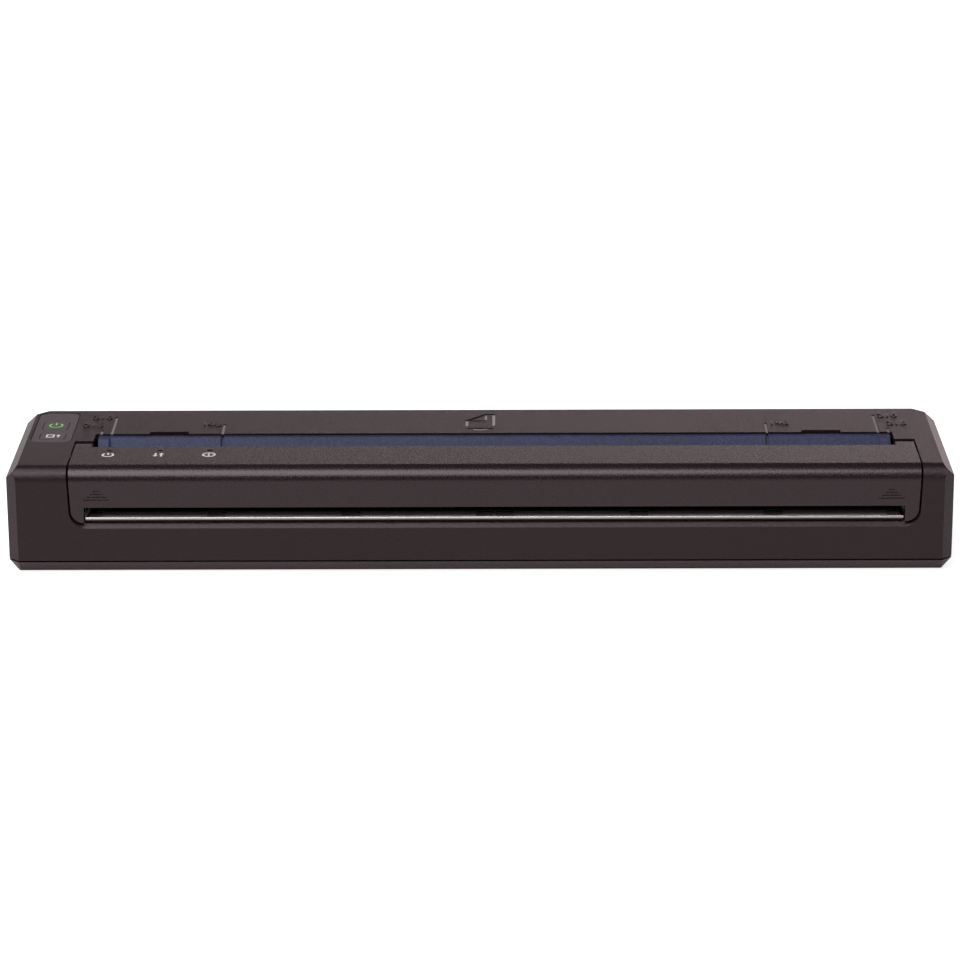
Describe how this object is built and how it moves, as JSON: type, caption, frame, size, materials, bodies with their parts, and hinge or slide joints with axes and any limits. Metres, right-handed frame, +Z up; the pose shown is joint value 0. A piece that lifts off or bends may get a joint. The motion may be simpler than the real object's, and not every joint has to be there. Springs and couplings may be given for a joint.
{
  "type": "portable thermal printer",
  "caption": "Slim portable thermal printer for A4 sheets with a hinged release cover over the roller, a paper guide, a tear bar and two keys.",
  "frame": {"origin": "middle of the footprint, on the desk under the rubber feet", "axes": "+X to the right seen from the front, +Y to the back, +Z up"},
  "size_m": [0.255, 0.055, 0.03],
  "materials": {
    "housing": "fine grain moulding",
    "tray": "fine grain moulding",
    "cover": "fine grain moulding",
    "guide": "coarse spark grain",
    "panel": "smooth matt",
    "key": "smooth matt",
    "bright_steel": "bright, brushed",
    "inner_plastic": "matt",
    "zinc_steel": "zinc plated",
    "steel": "ground",
    "ceramic": "glazed ceramic",
    "chip": "matt",
    "aluminium": "extruded",
    "spring_steel": "spring temper",
    "cable": "film",
    "rubber": "matt",
    "bush": "acetal",
    "gear_plastic": "acetal",
    "brass": "turned",
    "clear": "clear moulding",
    "board": "solder mask",
    "lamp": "diffuse",
    "switch": "matt",
    "connector": "matt",
    "socket_black": "matt",
    "plated": "nickel",
    "wrap": "satin wrap",
    "door": "fine grain moulding",
    "screw": "black zinc"
  },
  "bodies": {
    "housing": {"top_housing": "housing", "bottom_cover": "tray", "paper_guide": "guide", "key_panel": "panel", "tear_bar": "bright_steel", "exit_guide": "inner_plastic", "chassis": "zinc_steel", "gear_studs": "steel", "stud_clips": "steel", "stepper_motor": "zinc_steel", "hinge_pins": "steel", "key_board": "board", "key_switches": "switch", "key_screws": "screw", "main_board": "board", "board_chips": "chip", "board_sockets": "connector", "dc_jack": "socket_black", "dc_pin": "plated", "usb_port": "plated", "usb_tongue": "socket_black", "board_screws": "screw", "battery_pack": "wrap", "battery_contacts": "brass", "rubber_feet": "rubber", "case_screws": "screw", "chassis_screws": "screw", "head_spring": "spring_steel", "head_cable": "cable"},
    "cover": {"release_cover": "cover", "platen_bushes": "bush", "light_pipe": "clear", "indicator_board": "board", "indicator_leds": "lamp"},
    "platen": {"platen_shaft": "steel", "platen_rubber": "rubber", "platen_clip": "steel", "platen_gear": "gear_plastic"},
    "idler": {"idler_gear": "gear_plastic"},
    "reduction": {"reduction_gear": "gear_plastic"},
    "motor_rotor": {"motor_shaft": "steel", "motor_pinion": "brass"},
    "print_head": {"head_ceramic": "ceramic", "head_drivers": "chip", "head_heatsink": "aluminium"},
    "power_key": {"power_button": "key"},
    "feed_key": {"feed_button": "key"},
    "battery_door": {"battery_cover": "door"}
  },
  "joints": [
    {"name": "release_cover", "type": "hinge", "parent": "housing", "child": "cover", "pos_m": [0, -0.0066, 0.0266], "axis": [-1, 0, 0], "range_deg": [0, 80]},
    {"name": "platen_spin", "type": "hinge", "parent": "cover", "child": "platen", "pos_m": [0, -0.017, 0.021], "axis": [1, 0, 0], "continuous": true},
    {"name": "idler_spin", "type": "hinge", "parent": "housing", "child": "idler", "pos_m": [0, -0.01052, 0.01208], "axis": [1, 0, 0], "continuous": true},
    {"name": "reduction_spin", "type": "hinge", "parent": "housing", "child": "reduction", "pos_m": [0, -0.00109, 0.01345], "axis": [1, 0, 0], "continuous": true},
    {"name": "motor_spin", "type": "hinge", "parent": "housing", "child": "motor_rotor", "pos_m": [0, 0.01191, 0.01445], "axis": [1, 0, 0], "continuous": true},
    {"name": "head_pressure", "type": "hinge", "parent": "housing", "child": "print_head", "pos_m": [0, -0.0056, 0.0132], "axis": [1, 0, 0], "range_deg": [0, 1.5], "stiffness_Nm_per_rad": 1.5, "springref_deg": -2.86, "deforming": ["head_spring", "head_cable"]},
    {"name": "power_press", "type": "slide", "parent": "housing", "child": "power_key", "axis": [0, 0, -1], "range_m": [0, 0.0005], "stiffness_N_per_m": 1500, "springref_m": -0.0004},
    {"name": "feed_press", "type": "slide", "parent": "housing", "child": "feed_key", "axis": [0, 0, -1], "range_m": [0, 0.0005], "stiffness_N_per_m": 1500, "springref_m": -0.0004},
    {"name": "battery_door", "type": "hinge", "parent": "housing", "child": "battery_door", "pos_m": [0, 0.0265, 0.00625], "axis": [-1, 0, 0], "range_deg": [0, 90]}
  ],
  "couplings": [
    {"joint": "idler_spin", "follows": "platen_spin", "ratio": -0.83333},
    {"joint": "reduction_spin", "follows": "platen_spin", "ratio": 1.4286},
    {"joint": "motor_spin", "follows": "platen_spin", "ratio": -4.7619}
  ]
}
